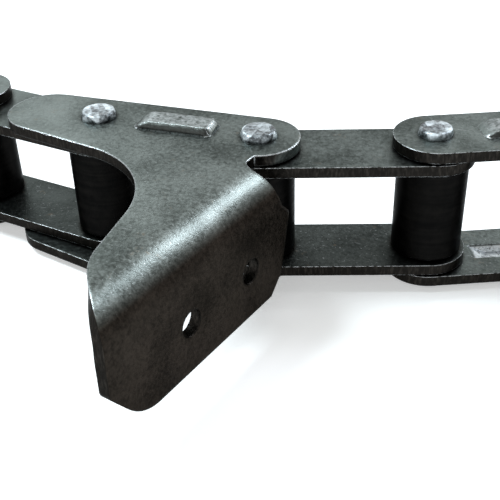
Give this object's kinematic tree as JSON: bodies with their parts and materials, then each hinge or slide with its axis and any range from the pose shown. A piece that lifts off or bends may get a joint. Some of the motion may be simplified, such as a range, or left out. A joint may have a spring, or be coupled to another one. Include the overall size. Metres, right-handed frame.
{
  "type": "conveyor chain",
  "caption": "Farm elevator roller chain section: inner and outer links, free rollers, and a bent flange on one plate for a paddle.",
  "frame": {"origin": "centre of the first link's free bush, halfway across the chain's width", "axes": "+X along the attachment link's pitch line, +Y towards the sprocket side, +Z along the pins; the chain lies on its side"},
  "size_m": [0.2686, 0.123, 0.0374],
  "materials": {
    "inner_plate": "dark heat-treated steel, lightly oiled",
    "outer_plate": "dark heat-treated steel, lightly oiled, worn bright at punched edges",
    "attachment_plate": "dark heat-treated steel, oiled, bright along the fold",
    "pin": "bright riveted steel",
    "bush": "dark steel",
    "roller": "black oxide steel, satin"
  },
  "bodies": {
    "inner_link_1": {"link_1_upper_plate": "inner_plate", "link_1_lower_plate": "inner_plate", "link_1_bush_left": "bush", "link_1_bush_right": "bush"},
    "roller_1_left": {"link_1_roller_left": "roller"},
    "roller_1_right": {"link_1_roller_right": "roller"},
    "outer_link_2": {"link_2_upper_plate": "outer_plate", "link_2_lower_plate": "outer_plate", "link_2_pin_left": "pin", "link_2_pin_right": "pin"},
    "inner_link_3": {"link_3_upper_plate": "inner_plate", "link_3_lower_plate": "inner_plate", "link_3_bush_left": "bush", "link_3_bush_right": "bush"},
    "roller_3_left": {"link_3_roller_left": "roller"},
    "roller_3_right": {"link_3_roller_right": "roller"},
    "attachment_link": {"link_4_upper_plate": "attachment_plate", "link_4_lower_plate": "attachment_plate", "link_4_pin_left": "pin", "link_4_pin_right": "pin"},
    "inner_link_5": {"link_5_upper_plate": "inner_plate", "link_5_lower_plate": "inner_plate", "link_5_bush_left": "bush", "link_5_bush_right": "bush"},
    "roller_5_left": {"link_5_roller_left": "roller"},
    "roller_5_right": {"link_5_roller_right": "roller"},
    "outer_link_6": {"link_6_upper_plate": "outer_plate", "link_6_lower_plate": "outer_plate", "link_6_pin_left": "pin", "link_6_pin_right": "pin"},
    "inner_link_7": {"link_7_upper_plate": "inner_plate", "link_7_lower_plate": "inner_plate", "link_7_bush_left": "bush", "link_7_bush_right": "bush"},
    "roller_7_left": {"link_7_roller_left": "roller"},
    "roller_7_right": {"link_7_roller_right": "roller"}
  },
  "joints": [
    {"name": "link_5_swing", "type": "hinge", "parent": "attachment_link", "child": "inner_link_5", "pos_m": [0.14586, -0.03811, 0], "axis": [0, 0, 1], "range_deg": [-31.6, 28.4]},
    {"name": "link_6_swing", "type": "hinge", "parent": "inner_link_5", "child": "outer_link_6", "pos_m": [0.18266, -0.02714, 0], "axis": [0, 0, 1], "range_deg": [-20.7, 39.3]},
    {"name": "link_7_swing", "type": "hinge", "parent": "outer_link_6", "child": "inner_link_7", "pos_m": [0.21819, -0.01257, 0], "axis": [0, 0, 1], "range_deg": [-25, 35]},
    {"name": "link_3_swing", "type": "hinge", "parent": "attachment_link", "child": "inner_link_3", "pos_m": [0.10746, -0.03811, 0], "axis": [0, 0, -1], "range_deg": [-25.2, 34.8]},
    {"name": "link_2_swing", "type": "hinge", "parent": "inner_link_3", "child": "outer_link_2", "pos_m": [0.06967, -0.03131, 0], "axis": [0, 0, -1], "range_deg": [-23, 37]},
    {"name": "link_1_swing", "type": "hinge", "parent": "outer_link_2", "child": "inner_link_1", "pos_m": [0.03319, -0.01932, 0], "axis": [0, 0, -1], "range_deg": [-27, 33]},
    {"name": "roller_1_left_spin", "type": "hinge", "parent": "inner_link_1", "child": "roller_1_left", "pos_m": [0, 0, 0], "axis": [0, 0, 1], "continuous": true},
    {"name": "roller_1_right_spin", "type": "hinge", "parent": "inner_link_1", "child": "roller_1_right", "pos_m": [0.03319, -0.01932, 0], "axis": [0, 0, 1], "continuous": true},
    {"name": "roller_3_left_spin", "type": "hinge", "parent": "inner_link_3", "child": "roller_3_left", "pos_m": [0.06967, -0.03131, 0], "axis": [0, 0, 1], "continuous": true},
    {"name": "roller_3_right_spin", "type": "hinge", "parent": "inner_link_3", "child": "roller_3_right", "pos_m": [0.10746, -0.03811, 0], "axis": [0, 0, 1], "continuous": true},
    {"name": "roller_5_left_spin", "type": "hinge", "parent": "inner_link_5", "child": "roller_5_left", "pos_m": [0.14586, -0.03811, 0], "axis": [0, 0, 1], "continuous": true},
    {"name": "roller_5_right_spin", "type": "hinge", "parent": "inner_link_5", "child": "roller_5_right", "pos_m": [0.18266, -0.02714, 0], "axis": [0, 0, 1], "continuous": true},
    {"name": "roller_7_left_spin", "type": "hinge", "parent": "inner_link_7", "child": "roller_7_left", "pos_m": [0.21819, -0.01257, 0], "axis": [0, 0, 1], "continuous": true},
    {"name": "roller_7_right_spin", "type": "hinge", "parent": "inner_link_7", "child": "roller_7_right", "pos_m": [0.25065, 0.00795, 0], "axis": [0, 0, 1], "continuous": true}
  ]
}
